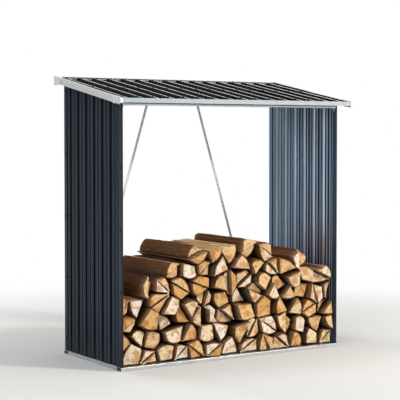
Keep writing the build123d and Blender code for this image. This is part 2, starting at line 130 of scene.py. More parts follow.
# The surround lights the store evenly. What mirrors it finds it dimmer overhead and behind the
# store, so that dark paint stays dark where it is seen edge on.
world = bpy.data.worlds.new("White surround")
world.use_nodes = True
tree = world.node_tree
tree.nodes.clear()
ambient = 0.42
place = add(tree, "TexCoord")
height = add(tree, "SeparateXYZ", {0: place.outputs["Generated"]})
ceiling = add(tree, "MapRange", {0: height.outputs["Z"], 1: 0.15, 2: 0.27, 3: 1.0, 4: 0.2},
              interpolation_type="SMOOTHSTEP")
far_half = add(tree, "MapRange", {0: height.outputs["Y"], 1: 0.1, 2: 0.7, 3: 1.0, 4: 0.45},
               interpolation_type="SMOOTHSTEP")
dim = add(tree, "Math", {0: ceiling, 1: far_half}, operation="MULTIPLY")
path = add(tree, "LightPath")
bright = add(tree, "Math", {0: dim, 1: path.outputs["Is Camera Ray"]}, operation="MAXIMUM")
lit = add(tree, "Background", {"Color": linear("f1f4f8"), "Strength": ambient})
seen = add(tree, "Background", {"Color": (1, 1, 1, 1), "Strength": bright})
shown = seen_directly(tree, path)
mixed = add(tree, "MixShader", {0: shown, 1: lit, 2: seen})
add(tree, "OutputWorld", {"Surface": mixed})
bpy.context.scene.world = world

for name, place, aim, size, power, colour in (
    ("Key", (3.3, -4.9, 3.5), (0.0, 0.0, 0.5), 0.7, 262.0, "fff7ec"),
    ("Fill", (-4.4, -3.2, 2.2), (-0.3, 0.0, 0.7), 2.4, 50.0, "f1f5ff"),
    ("Over", (0.2, -0.6, 4.4), (0.0, 0.0, 0.9), 2.6, 45.0, "ffffff"),
    ("Rear", (-1.5, 3.2, 4.1), (0.0, 0.0, 1.2), 1.8, 70.0, "f7f4ec"),
):
    lamp_data = bpy.data.lights.new(name, "AREA")
    lamp_data.size = size
    lamp_data.energy = power
    lamp_data.color = linear(colour)[:3]
    lamp = bpy.data.objects.new(name, lamp_data)
    lamp.location = place
    lamp.rotation_euler = (Vector(aim) - Vector(place)).to_track_quat("-Z", "Y").to_euler()
    bpy.context.collection.objects.link(lamp)

# Ribbed wall sheets
# Two lapped sheets a side of thin galvanised steel, roll formed into flat lands between deep
# grooves, with a baked anthracite polyester paint. They stand in the corner posts.


def new_finish(name):
    """A material with its node tree and its main shader."""
    material = bpy.data.materials.new(name)
    material.use_nodes = True
    tree = material.node_tree
    shader = tree.nodes["Principled BSDF"]
    return material, tree, shader


def wear(material, *starts):
    """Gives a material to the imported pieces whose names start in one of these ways."""
    for name, piece in nodes.items():
        if name.startswith(starts):
            for slot in piece.material_slots:
                slot.material = material


def stretched_noise(tree, place, marks_per_metre, detail, roughness=0.5):
    """Noise drawn out unevenly: marks_per_metre says how closely it changes along each axis."""
    scaled = add(tree, "Mapping", {"Vector": place, "Scale": marks_per_metre})
    return add(tree, "TexNoise", {"Vector": scaled, "Scale": 1.0, "Detail": detail,
                                  "Roughness": roughness})


def faced_out(tree, parts):
    """From 1 on faces that look away from the store's middle plane to -1 on those that look at it."""
    hand = add(tree, "Math", {0: parts.outputs["X"]}, operation="SIGN")
    normal = add(tree, "SeparateXYZ", {0: add(tree, "NewGeometry").outputs["Normal"]})
    return add(tree, "Math", {0: normal.outputs["X"], 1: hand}, operation="MULTIPLY")


# Baked polyester paint, roller coated: satin, with a faint orange peel, slow waves in the thin
# sheet and dry runs of dust. Outside it is dull from weather; its grooves are painted black as
# painted shade, with painted highlights on their shoulders and on the low ridges. Inside it is
# glossy, with upright stripes of painted reflection and painted shade that repeat with the
# grooves, brightest on the flanks that face the open front and paler towards the back, and
# browned low down near the front by a painted reflection of the logs.
wall_pitch = 0.0915
first_groove = -0.1775
faint_side = 0.02
sheet_paint, tree, shader = new_finish("Anthracite baked polyester on roll-formed steel")
place = add(tree, "TexCoord").outputs["Object"]
parts = add(tree, "SeparateXYZ", {0: place})
facing = faced_out(tree, parts)
outside = add(tree, "MapRange", {0: facing, 1: -faint_side, 2: faint_side})
inside = add(tree, "MapRange", {0: facing, 1: faint_side, 2: -faint_side})
runs = stretched_noise(tree, place, (150.0, 150.0, 1.4), 4.0, 0.6)
from_groove = add(tree, "Math", {0: parts.outputs["Y"], 1: first_groove}, operation="SUBTRACT")
pitches = add(tree, "Math", {0: from_groove, 1: wall_pitch}, operation="DIVIDE")
step = add(tree, "Math", {0: pitches}, operation="FRACT")
# Outside: black across each groove and a little beyond it as painted shade, with painted highlights on
# the groove shoulders and the low ridges beside darker painted shade.
outer_painted_light = add(tree, "ValToRGB", {0: step}, [
    (0.0, "010102"), (0.116, "010102"), (0.138, "2f3a46"), (0.2, "333f4b"), (0.24, "131920"),
    (0.29, "414d5b"), (0.36, "37424f"), (0.41, "12171e"), (0.5, "242d37"), (0.6, "151b22"),
    (0.64, "414d5b"), (0.71, "37424f"), (0.76, "11161d"), (0.81, "2f3a46"), (0.862, "35414d"),
    (0.884, "010102")])
# Inside: stripes that repeat with the grooves, pale bands of painted reflection on the flanks and
# crests and dark bands of painted shade behind them.
inner = add(tree, "ValToRGB", {0: step}, [
    (0.0, "6d89aa"), (0.06, "7793b4"), (0.075, "b9cfe7"), (0.175, "a9c3e0"), (0.19, "060b12"),
    (0.31, "0a121c"), (0.325, "9ab7d8"), (0.42, "84a2c6"), (0.435, "1d2c3f"), (0.62, "1a2738"),
    (0.635, "b2cae4"), (0.735, "a0bad8"), (0.75, "1b2b3f"), (0.865, "101b29"), (0.88, "f4f9ff"),
    (0.968, "ecf4fc"), (0.98, "6d89aa")])
# The inside is paler towards the back.
back_share = add(tree, "MapRange", {0: parts.outputs["Y"], 1: 0.0, 2: 0.34, 3: 0.0, 4: 0.42})
paled = add(tree, "Mix", {"Factor": back_share, "A": inner, "B": linear("98abc0")}, data_type="RGBA")
# Painted reflection of the logs: brown runs low down near the front of the inside.
low = add(tree, "MapRange", {0: parts.outputs["Z"], 1: 0.85, 2: 0.5}, interpolation_type="SMOOTHSTEP")
near_front = add(tree, "MapRange", {0: parts.outputs["Y"], 1: 0.12, 2: -0.12})
run = add(tree, "MapRange", {0: runs, 1: 0.42, 2: 0.56, 3: 0.0, 4: 0.85})
log_reflection = add(tree, "Math", {0: low, 1: run}, operation="MULTIPLY")
log_reflection = add(tree, "Math", {0: log_reflection, 1: near_front}, operation="MULTIPLY")
log_reflected = add(tree, "Mix", {"Factor": log_reflection, "A": paled, "B": linear("5f3d22")}, data_type="RGBA")
sided = add(tree, "Mix", {"Factor": inside, "A": outer_painted_light, "B": log_reflected}, data_type="RGBA")
streak = add(tree, "MapRange", {0: runs, 1: 0.3, 2: 0.7, 3: 0.62, 4: 1.3})
streaked = add(tree, "VectorMath", {0: sided, "Scale": streak}, operation="SCALE")
dusty = add(tree, "MapRange", {0: parts.outputs["Z"], 1: 0.02, 2: 0.16, 3: 1.0, 4: 0.0},
            interpolation_type="SMOOTHSTEP")
specks = add(tree, "TexNoise", {"Vector": place, "Scale": 45.0, "Detail": 5.0, "Roughness": 0.65})
dust = add(tree, "Math", {0: dusty, 1: specks}, operation="MULTIPLY")
dust = add(tree, "Math", {0: dust, 1: 0.3}, operation="MULTIPLY")
dusted = add(tree, "Mix", {"Factor": dust, "A": streaked, "B": linear("5d5f5e")}, data_type="RGBA")
gloss = add(tree, "MapRange", {0: runs, 1: 0.3, 2: 0.7, 3: 0.14, 4: 0.26})
weathered = add(tree, "Math", {0: outside, 1: 0.24, 2: gloss}, operation="MULTIPLY_ADD")
dulled = add(tree, "Math", {0: weathered, 1: dust}, operation="ADD")
peel = add(tree, "TexNoise", {"Vector": place, "Scale": 420.0, "Detail": 2.0})
waves = stretched_noise(tree, place, (6.0, 6.0, 2.6), 1.0)
wavy = add(tree, "Bump", {"Height": waves, "Strength": 0.5, "Distance": 0.004})
peeled = add(tree, "Bump", {"Height": peel, "Normal": wavy, "Strength": 0.08, "Distance": 0.0004})
join(tree, shader, {"Base Color": dusted, "Roughness": dulled, "Normal": peeled, "IOR": 1.45,
                    "Specular IOR Level": 0.07})
wear(sheet_paint, "wall_")

# Corner posts
# Folded channels of the same painted steel that grip the sheets' upright edges. Handling has
# rubbed them a little browner in specks. Their inner faces carry a pale blue painted highlight,
# most on the back ones.
post_paint, tree, shader = new_finish("Anthracite baked polyester on folded steel")
place = add(tree, "TexCoord").outputs["Object"]
runs = stretched_noise(tree, place, (140.0, 140.0, 5.0), 5.0, 0.6)
tone = add(tree, "ValToRGB", {0: runs}, [(0.3, "0f151d"), (0.72, "202a36")])
parts = add(tree, "SeparateXYZ", {0: place})
facing = faced_out(tree, parts)
# Painted highlight: inner faces turn pale blue, a little on the front posts and most on the back ones.
inward = add(tree, "MapRange", {0: facing, 1: -0.5, 2: -0.9})
at_back = add(tree, "MapRange", {0: parts.outputs["Y"], 1: -0.1, 2: 0.1, 3: 0.12, 4: 0.85})
inward = add(tree, "Math", {0: inward, 1: at_back}, operation="MULTIPLY")
tinted = add(tree, "Mix", {"Factor": inward, "A": tone, "B": linear("7790ad")}, data_type="RGBA")
specks = add(tree, "TexNoise", {"Vector": place, "Scale": 130.0, "Detail": 4.0, "Roughness": 0.7})
rubbed = add(tree, "MapRange", {0: specks, 1: 0.62, 2: 0.74, 3: 0.0, 4: 0.5})
worn = add(tree, "Mix", {"Factor": rubbed, "A": tinted, "B": linear("4b4743")}, data_type="RGBA")
gloss = add(tree, "MapRange", {0: specks, 1: 0.3, 2: 0.7, 3: 0.28, 4: 0.42})
peeled = add(tree, "Bump", {"Height": specks, "Strength": 0.1, "Distance": 0.0006})
join(tree, shader, {"Base Color": worn, "Roughness": gloss, "Normal": peeled, "IOR": 1.45,
                    "Specular IOR Level": 0.25})
wear(post_paint, "post_")

# Roof sheets
# Four ribbed sheets lapped over each other's last rib, in near-black baked paint. Rain dries in
# faint brownish runs down the slope. A pale line down the upper face of each rib crest is a
# painted highlight.
roof_paint, tree, shader = new_finish("Near-black baked polyester on roll-formed steel")
rib_pitch = 0.0926
highlight_half_width = 0.004
highlight_edge = 0.001
place = add(tree, "TexCoord").outputs["Object"]
parts = add(tree, "SeparateXYZ", {0: place})
runs = stretched_noise(tree, place, (110.0, 4.0, 4.0), 5.0, 0.62)
tone = add(tree, "ValToRGB", {0: runs}, [(0.34, "080908"), (0.66, "191815")])
blotch = add(tree, "TexNoise", {"Vector": place, "Scale": 14.0, "Detail": 5.0, "Roughness": 0.6})
film = add(tree, "MapRange", {0: blotch, 1: 0.48, 2: 0.78, 3: 0.0, 4: 0.25})
tinted = add(tree, "Mix", {"Factor": film, "A": tone, "B": linear("2c2820")}, data_type="RGBA")
across = add(tree, "Math", {0: parts.outputs["X"], 1: rib_pitch}, operation="DIVIDE")
nearest = add(tree, "Math", {0: across}, operation="FRACT")
centred = add(tree, "Math", {0: nearest, 1: 0.5}, operation="SUBTRACT")
aside = add(tree, "Math", {0: centred}, operation="ABSOLUTE")
# Painted highlight: a pale line down each rib crest, on upward faces only, broken by the runs.
crest = add(tree, "MapRange", {0: aside, 1: (highlight_half_width + highlight_edge) / rib_pitch,
                               2: highlight_half_width / rib_pitch})
patchy = add(tree, "MapRange", {0: runs, 1: 0.25, 2: 0.6, 3: 0.55, 4: 1.0})
painted_highlight = add(tree, "Math", {0: crest, 1: patchy}, operation="MULTIPLY")
normal = add(tree, "SeparateXYZ", {0: add(tree, "NewGeometry").outputs["Normal"]})
upper = add(tree, "MapRange", {0: normal.outputs["Z"], 1: 0.0, 2: 0.1})
painted_highlight = add(tree, "Math", {0: painted_highlight, 1: upper}, operation="MULTIPLY")
highlighted = add(tree, "Mix", {"Factor": painted_highlight, "A": tinted, "B": linear("ebecea")}, data_type="RGBA")
gloss = add(tree, "MapRange", {0: blotch, 1: 0.3, 2: 0.7, 3: 0.5, 4: 0.62})
peel = add(tree, "TexNoise", {"Vector": place, "Scale": 420.0, "Detail": 2.0})
peeled = add(tree, "Bump", {"Height": peel, "Strength": 0.12, "Distance": 0.0004})
join(tree, shader, {"Base Color": highlighted, "Roughness": gloss, "Normal": peeled, "IOR": 1.45,
                    "Specular IOR Level": 0.025})
wear(roof_paint, "roof_sheet_")

# Base rails, top frame and bracing bars
# Bare hot-dip galvanised steel, folded after dipping. Zinc freezes in flat crystals, the
# spangle, which take the light at slightly different angles.
# The real spangle is about 5 mm; it is drawn at 12 mm so that it shows.
spangle_size = 0.012
zinc, tree, shader = new_finish("Hot-dip galvanised steel with spangle")
place = add(tree, "TexCoord").outputs["Object"]
bent = add(tree, "TexNoise", {"Vector": place, "Scale": 60.0, "Detail": 2.0})
edge = add(tree, "VectorMath", {0: bent.outputs["Color"], "Scale": 0.006}, operation="SCALE")
moved = add(tree, "VectorMath", {0: place, 1: edge}, operation="ADD")
cells = add(tree, "TexVoronoi", {"Vector": moved, "Scale": 1.0 / spangle_size})
cell = add(tree, "SeparateColor", {0: cells.outputs["Color"]})
tone = add(tree, "ValToRGB", {0: cell}, [(0.0, "cdd2d6"), (1.0, "dadfe3")])
dull = add(tree, "TexNoise", {"Vector": place, "Scale": 9.0, "Detail": 5.0, "Roughness": 0.6})
film = add(tree, "MapRange", {0: dull, 1: 0.4, 2: 0.75, 3: 0.0, 4: 0.45})
tinted = add(tree, "Mix", {"Factor": film, "A": tone, "B": linear("b3b9be")}, data_type="RGBA")
gloss = add(tree, "MapRange", {0: cell.outputs[1], 3: 0.36, 4: 0.46})
facets = add(tree, "Bump", {"Height": cell.outputs[2], "Strength": 0.03, "Distance": 0.0006})
join(tree, shader, {"Base Color": tinted, "Roughness": gloss, "Normal": facets, "Metallic": 1.0})
wear(zinc, "sill_", "rail_", "header_brackets")

# The headers are the same steel, with a painted shadow line where the roof's edge shades them.
header_zinc = zinc.copy()
header_zinc.name = "Galvanised steel with painted shadow lines"
tree = header_zinc.node_tree
shader = tree.nodes["Principled BSDF"]
clean = shader.inputs["Base Color"].links[0].from_socket
place = add(tree, "TexCoord").outputs["Object"]
parts = add(tree, "SeparateXYZ", {0: place})
# Painted shadow: a dark line along each header just under the roof's edge.
shadow_heights = (1.3842, 1.5030)
shadow_half_width = 0.003
shadow_edge = 0.0012
lines = []
for level in shadow_heights:
    above = add(tree, "Math", {0: parts.outputs["Z"], 1: level}, operation="SUBTRACT")
    apart = add(tree, "Math", {0: above}, operation="ABSOLUTE")
    lines.append(add(tree, "MapRange", {0: apart, 1: shadow_half_width + shadow_edge, 2: shadow_half_width,
                                        3: 0.0, 4: 0.9}))
painted_shadow = add(tree, "Math", {0: lines[0], 1: lines[1]}, operation="MAXIMUM")
shadowed = add(tree, "Mix", {"Factor": painted_shadow, "A": clean, "B": linear("23251f")}, data_type="RGBA")
join(tree, shader, {"Base Color": shadowed})
wear(header_zinc, "header_front", "header_back")

# The bracing bars are brushed strip with a chalky pale film on the zinc, which scatters light
# where the rails mirror it.
bar_zinc, tree, shader = new_finish("Passivated zinc on brushed steel strip")
place = add(tree, "TexCoord").outputs["Object"]
brushed = stretched_noise(tree, place, (300.0, 300.0, 26.0), 3.0)
tone = add(tree, "ValToRGB", {0: brushed}, [(0.3, "dde5eb"), (0.7, "ebf0f4")])
gloss = add(tree, "MapRange", {0: brushed, 1: 0.3, 2: 0.7, 3: 0.32, 4: 0.45})
scored = add(tree, "Bump", {"Height": brushed, "Strength": 0.08, "Distance": 0.0003})
join(tree, shader, {"Base Color": tone, "Roughness": gloss, "Normal": scored, "Metallic": 0.2})
wear(bar_zinc, "brace_")

# Roof edge trims
# Folded steel strips in a pale silver-grey coating that close the four edges of the roof. The
# ones at the front and the back take a darker, bluer copy of the same paint: painted shade.
trim_paint, tree, shader = new_finish("Pale silver-grey polyester on folded steel")
place = add(tree, "TexCoord").outputs["Object"]
marks = add(tree, "TexNoise", {"Vector": place, "Scale": 30.0, "Detail": 5.0, "Roughness": 0.62})
tone = add(tree, "ValToRGB", {0: marks}, [(0.32, "d7d8d8"), (0.68, "dedfde")])
gloss = add(tree, "MapRange", {0: marks, 1: 0.3, 2: 0.7, 3: 0.42, 4: 0.52})
peel = add(tree, "TexNoise", {"Vector": place, "Scale": 260.0, "Detail": 1.0})
peeled = add(tree, "Bump", {"Height": peel, "Strength": 0.03, "Distance": 0.0004})
join(tree, shader, {"Base Color": tone, "Roughness": gloss, "Normal": peeled, "IOR": 1.5})
wear(trim_paint, "trim_")
# The front and back trims take a darker, bluer copy of the same paint: painted shade.
shaded_fascia_paint = trim_paint.copy()
shaded_fascia_paint.name = "Pale blue-grey polyester on folded steel"
tone = next(n for n in shaded_fascia_paint.node_tree.nodes if n.bl_idname == "ShaderNodeValToRGB")
tone.color_ramp.elements[0].color = linear("a9b4bd")
tone.color_ramp.elements[1].color = linear("b5c0c8")
wear(shaded_fascia_paint, "fascia_")

# Corner caps
# Off-white polypropylene mouldings pushed over the trims' ends, with the fine spark-eroded
# texture of their mould.
cap_plastic, tree, shader = new_finish("Off-white moulded polypropylene")
place = add(tree, "TexCoord").outputs["Object"]
grain = add(tree, "TexNoise", {"Vector": place, "Scale": 700.0, "Detail": 3.0, "Roughness": 0.6})
soil = add(tree, "TexNoise", {"Vector": place, "Scale": 55.0, "Detail": 4.0})
tone = add(tree, "ValToRGB", {0: soil}, [(0.35, "e3e2de"), (0.62, "f0efec")])
gloss = add(tree, "MapRange", {0: grain, 1: 0.3, 2: 0.7, 3: 0.45, 4: 0.6})
pitted = add(tree, "Bump", {"Height": grain, "Strength": 0.25, "Distance": 0.0005})
join(tree, shader, {"Base Color": tone, "Roughness": gloss, "Normal": pitted, "IOR": 1.49})
wear(cap_plastic, "cap_")

# Screws
# Self-drilling hex-head screws of zinc-plated steel with rubber washers. Their heads are coated
# dark where they hold the roof's rib crests, the posts and the wall tops, and bare elsewhere.
# A seat is the place of a screw, the way that its head looks, and 1 where it is coated.
roof_front = 1.405
roof_start = -0.375
roof_rise = math.tan(math.radians(10.3))
rib_count = 16
lapped_ribs = (4, 8, 12)
crest_drop = 0.0028
lapped_drop = 0.0015
roof_rows = (-0.284, 0.03, 0.344)
post_face = 0.705
post_rows = {-0.280: (0.09, 0.41, 0.73, 1.05, 1.345), 0.340: (0.09, 0.43, 0.77, 1.11, 1.455)}
wall_face = 0.7022
wall_screw_count = 6
wall_top_drop = 0.031
bracket_face = 0.6932
bracket_places = ((-0.2845, 1.3626), (0.3445, 1.4814))
brace_face = 0.3593
brace_ends = ((0.138, 1.5072), (0.595, 0.0085))
bare, coated = 0.0, 1.0


def roof_height(y):
    """The height of the roof's upper edge at a place from front to back."""
    return roof_front + (y - roof_start) * roof_rise


seats = []
for i in range(rib_count):
    x = (i - (rib_count - 1) / 2) * rib_pitch
    drop = lapped_drop if i in lapped_ribs else crest_drop
    for y in roof_rows:
        seats.append(((x, y, roof_height(y) - drop), (0.0, -roof_rise, 1.0), coated))
for side in (-1, 1):
    for y, heights in post_rows.items():
        for z in heights:
            seats.append(((side * post_face, y, z), (side, 0.0, 0.0), coated))
    for k in range(wall_screw_count):
        y = first_groove + (k - 0.5) * wall_pitch
        seats.append(((side * wall_face, y, roof_height(y) - wall_top_drop), (side, 0.0, 0.0), coated))
    for y, z in bracket_places:
        seats.append(((side * bracket_face, y, z), (-side, 0.0, 0.0), bare))
    for x, z in brace_ends:
        seats.append(((side * x, brace_face, z), (0.0, 1.0, 0.0), bare))
seat_mesh = bpy.data.meshes.new("hex_screws")
seat_mesh.from_pydata([place for place, _, _ in seats], [], [])
aims = seat_mesh.attributes.new("aim", "FLOAT_VECTOR", "POINT")
aims.data.foreach_set("vector", np.ravel([aim for _, aim, _ in seats]).astype(float))
coats = seat_mesh.attributes.new("coated", "FLOAT", "POINT")
coats.data.foreach_set("value", [coat for _, _, coat in seats])

screw_zinc, tree, shader = new_finish("Bright zinc-plated steel and EPDM rubber")
place = add(tree, "TexCoord").outputs["Object"]
rubber = add(tree, "Attribute", attribute_name="rubber").outputs["Fac"]
haze = add(tree, "TexNoise", {"Vector": place, "Scale": 350.0, "Detail": 3.0})
tone = add(tree, "ValToRGB", {0: haze}, [(0.3, "9aa1a8"), (0.7, "c3c8cc")])
coat = add(tree, "Attribute", attribute_name="coated").outputs["Fac"]
headed = add(tree, "Mix", {"Factor": coat, "A": tone, "B": linear("303841")}, data_type="RGBA")
tipped = add(tree, "Mix", {"Factor": rubber, "A": headed, "B": linear("1b1c1d")}, data_type="RGBA")
cover = add(tree, "Math", {0: rubber, 1: coat}, operation="MAXIMUM")
metal = add(tree, "Math", {0: 1.0, 1: cover}, operation="SUBTRACT")
gloss = add(tree, "MapRange", {0: rubber, 3: 0.32, 4: 0.7})
join(tree, shader, {"Base Color": tipped, "Metallic": metal, "Roughness": gloss})

tree = bpy.data.node_groups.new("Hex screw on a rubber washer", "GeometryNodeTree")
tree.interface.new_socket("Seats", in_out="INPUT", socket_type="NodeSocketGeometry")
screw_sizes = {"Head radius": 0.0044, "Head height": 0.0036, "Washer radius": 0.0068,
               "Washer height": 0.0014}
sockets = {}
for name, size in screw_sizes.items():
    sockets[name] = tree.interface.new_socket(name, in_out="INPUT", socket_type="NodeSocketFloat")
sockets["Seed"] = tree.interface.new_socket("Seed", in_out="INPUT", socket_type="NodeSocketInt")
tree.interface.new_socket("Screws", in_out="OUTPUT", socket_type="NodeSocketGeometry")
given = add(tree, "NodeGroupInput").outputs
half_head = add(tree, "Math", {0: given["Head height"], 1: 0.5, 2: given["Washer height"]},
                operation="MULTIPLY_ADD")
head_top = add(tree, "Math", {0: given["Head height"], 1: given["Washer height"]}, operation="ADD")
flange_radius = add(tree, "Math", {0: given["Head radius"], 1: 1.25}, operation="MULTIPLY")
crown_radius = add(tree, "Math", {0: given["Head radius"], 1: 0.72}, operation="MULTIPLY")
washer = add(tree, "GeometryNodeMeshCone", {"Vertices": 14, "Radius Bottom": given["Washer radius"],
                                            "Radius Top": flange_radius,
                                            "Depth": given["Washer height"]})
marked = add(tree, "GeometryNodeStoreNamedAttribute",
             {"Geometry": washer.outputs["Mesh"], "Name": "rubber", "Value": 1.0}, data_type="FLOAT",
             domain="POINT")
raised = add(tree, "CombineXYZ", {"Z": half_head})
head = add(tree, "GeometryNodeMeshCylinder", {"Vertices": 6, "Radius": given["Head radius"],
                                              "Depth": given["Head height"]})
head = add(tree, "GeometryNodeTransform", {"Geometry": head.outputs["Mesh"], "Translation": raised})
crown = add(tree, "GeometryNodeMeshCone", {"Vertices": 12, "Radius Bottom": given["Head radius"],
                                           "Radius Top": crown_radius, "Depth": 0.0007})
topped = add(tree, "CombineXYZ", {"Z": head_top})
crown = add(tree, "GeometryNodeTransform", {"Geometry": crown.outputs["Mesh"], "Translation": topped})
whole = add(tree, "GeometryNodeJoinGeometry")
for piece in (marked, head, crown):
    join(tree, whole, {0: piece})
aim = add(tree, "GeometryNodeInputNamedAttribute", {"Name": "aim"}, data_type="FLOAT_VECTOR")
upright = add(tree, "FunctionNodeAlignRotationToVector", {"Vector": aim}, axis="Z")
spin = add(tree, "FunctionNodeRandomValue", {2: 0.0, 3: math.tau, "Seed": given["Seed"]},
           data_type="FLOAT")
about = add(tree, "FunctionNodeAxisAngleToRotation",
            {"Axis": (0.0, 0.0, 1.0), "Angle": spin.outputs[1]})
driven = add(tree, "FunctionNodeRotateRotation", {0: upright, 1: about}, rotation_space="LOCAL")
set_out = add(tree, "GeometryNodeInstanceOnPoints",
              {"Points": given["Seats"], "Instance": whole, "Rotation": driven})
solid = add(tree, "GeometryNodeRealizeInstances", {"Geometry": set_out})
plated = add(tree, "GeometryNodeSetMaterial", {"Geometry": solid, "Material": screw_zinc})
add(tree, "NodeGroupOutput", {0: plated})

screws = bpy.data.objects.new("hex_screws", seat_mesh)
bpy.context.collection.objects.link(screws)
setting = screws.modifiers.new("Screws", "NODES")
setting.node_group = tree
for name, size in screw_sizes.items():
    setting[sockets[name].identifier] = size
setting[sockets["Seed"].identifier] = 7
made = bpy.data.meshes.new_from_object(screws.evaluated_get(bpy.context.evaluated_depsgraph_get()))
screws.modifiers.remove(setting)
screws.data = made
made.name = "hex_screws"
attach(screws, "root")

# Split logs
# Firewood of mixed hardwood, sawn 0.4 to 0.6 m long and split along the fibre. Each keeps the
# outline of its solid, and gets torn split faces, fissured bark and rough saw-cut ends.
same_point = 0.00001
end_depth = 0.0001
even_spacing = 0.03
gentle_turn = 0.7
sample_gap = 0.0065
end_rows = (0.0, 0.002, 0.007, 0.018)
middle_rows = (0.036, *(0.06 + 0.03 * k for k in range(16)))
last_row_clear = 0.04
bark_thickness = 0.0045
splinter_width = 0.0016
ring_shares = (0.8, 0.58, 0.34)
covered_reach = 0.035
covered_rise = 0.02
end_light_depth = 0.045
widest_gap = 0.06
ahead_share = 0.8
belly_overlap = 0.002
least_belly = 0.0005
aired_flatness = 0.75
bark_to_pith = (0.035, 0.06)
middle_to_pith = (0.04, 0.09)
most_slant = 0.2
most_slim = 0.07
slim_share = 0.3
sideways_bow = 0.005
upward_bow = 0.003
bark_proud = 0.0012
bark_fissure = 0.0034
bark_swell = 0.0015
torn_wave = 0.0026
torn_ledge = 0.0014
torn_fine = 0.0011
corner_wear = 0.0022
end_wear = 0.0016
end_unevenness = 0.0009
end_bulge = 0.0006
rim_bulge = 0.0004
on_split, on_sawn, on_bark = 0, 1, 2
sharp_angle = 34


def log_prisms(node):
    """Each log of a course as its end outline in (x, z) and where its two ends are."""
    cut = bmesh.new()
    cut.from_mesh(node.data)
    bmesh.ops.remove_doubles(cut, verts=cut.verts, dist=same_point)
    prisms = []
    seen = set()
    for start in cut.verts:
        if start in seen:
            continue
        seen.add(start)
        island = [start]
        for vert in island:
            for edge in vert.link_edges:
                other = edge.other_vert(vert)
                if other not in seen:
                    seen.add(other)
                    island.append(other)
        front = min(v.co.y for v in island)
        back = max(v.co.y for v in island)
        ring = {v for v in island if v.co.y < front + end_depth}
        after = {}
        for vert in ring:
            for face in vert.link_faces:
                if all(v in ring for v in face.verts):
                    continue
                for edge in face.edges:
                    a, b = edge.verts
                    if a in ring and b in ring:
                        after.setdefault(a, set()).add(b)
                        after.setdefault(b, set()).add(a)
        walk = [min(ring, key=lambda v: v.index)]
        walk.append(min(after[walk[0]], key=lambda v: v.index))
        while True:
            following = [v for v in after[walk[-1]] if v is not walk[-2]]
            if following[0] is walk[0]:
                break
            walk.append(following[0])
        outline = [(v.co.x, v.co.z) for v in walk]
        turning = sum(a[0] * b[1] - b[0] * a[1] for a, b in zip(outline, outline[1:] + outline[:1]))
        if turning < 0:
            outline.reverse()
        prisms.append((outline, front, back))
    cut.free()
    return prisms


def outline_sides(outline):
    """The outline's sides in turn: each is its points and whether it is a bark side."""
    count = len(outline)
    smooth = []
    for i in range(count):
        a, b, c = outline[i - 1], outline[i], outline[(i + 1) % count]
        first = math.dist(a, b)
        second = math.dist(b, c)
        before = math.atan2(b[1] - a[1], b[0] - a[0])
        after = math.atan2(c[1] - b[1], c[0] - b[0])
        turn = math.remainder(after - before, math.tau)
        smooth.append(abs(first / second - 1) < even_spacing and abs(turn) < gentle_turn)
    if all(smooth):
        return [(outline + outline[:1], True)]
    start = smooth.index(False)
    sides = []
    points = [outline[start]]
    for k in range(1, count + 1):
        i = (start + k) % count
        points.append(outline[i])
        if not smooth[i]:
            sides.append((points, len(points) > 2))
            points = [outline[i]]
    return sides


def sampled(outline):
    """Evenly spaced points round a log's end: place, and whether it is on bark and on a corner."""
    samples = []
    for points, is_bark in outline_sides(outline):
        spans = [math.dist(a, b) for a, b in zip(points, points[1:])]
        total = sum(spans)
        steps = max(round(total / sample_gap), 3)
        for k in range(steps):
            goal = total * k / steps
            i = 0
            while i < len(spans) - 1 and goal > spans[i]:
                goal -= spans[i]
                i += 1
            a, b = points[i], points[i + 1]
            share = goal / spans[i]
            x = a[0] + (b[0] - a[0]) * share
            z = a[1] + (b[1] - a[1]) * share
            samples.append((x, z, is_bark, k == 0))
    return samples


def fibre(across, along, seed):
    """Noise from 0 to 1 that is long along the wood's fibre."""
    return 0.5 + 0.5 * noise.noise((across, along, seed))


def bellied(flat, outward, others):
    """How far each point can swell half way along, to meet the neighbour that lies ahead of it."""
    apart = others[None, :, :] - flat[:, None, :]
    distance = np.linalg.norm(apart, axis=2)
    ahead = (apart * outward[:, None, :]).sum(axis=2) > ahead_share * distance
    gaps = np.where(ahead, distance, 1.0).min(axis=1)
    belly = np.where(gaps < widest_gap, gaps / 2 + belly_overlap, least_belly)
    return sum(np.roll(belly, k) for k in range(-1, 2)) / 3


def sunk(s, y, is_bark, rough, seed):
    """How far bark or a torn face lies inside the plain outline, at s round it and y along it."""
    if is_bark:
        ridge = abs(2 * fibre(s / 0.011, y / 0.05, seed) - 1)
        swell = bark_swell * fibre(s / 0.03, y / 0.1, seed + 9)
        return -bark_proud + bark_fissure * (1 - ridge) ** 2 + swell
    ledge = fibre(s / 0.024, y / 0.35, seed + 3)
    ledge = min(max((ledge - 0.47) / 0.05, 0.0), 1.0)
    fine = fibre(s / 0.008, y / 0.06, seed + 5)
    wave = fibre(s / 0.034, y / 0.22, seed)
    return 0.0002 + rough * (torn_wave * wave + torn_ledge * ledge + torn_fine * fine)


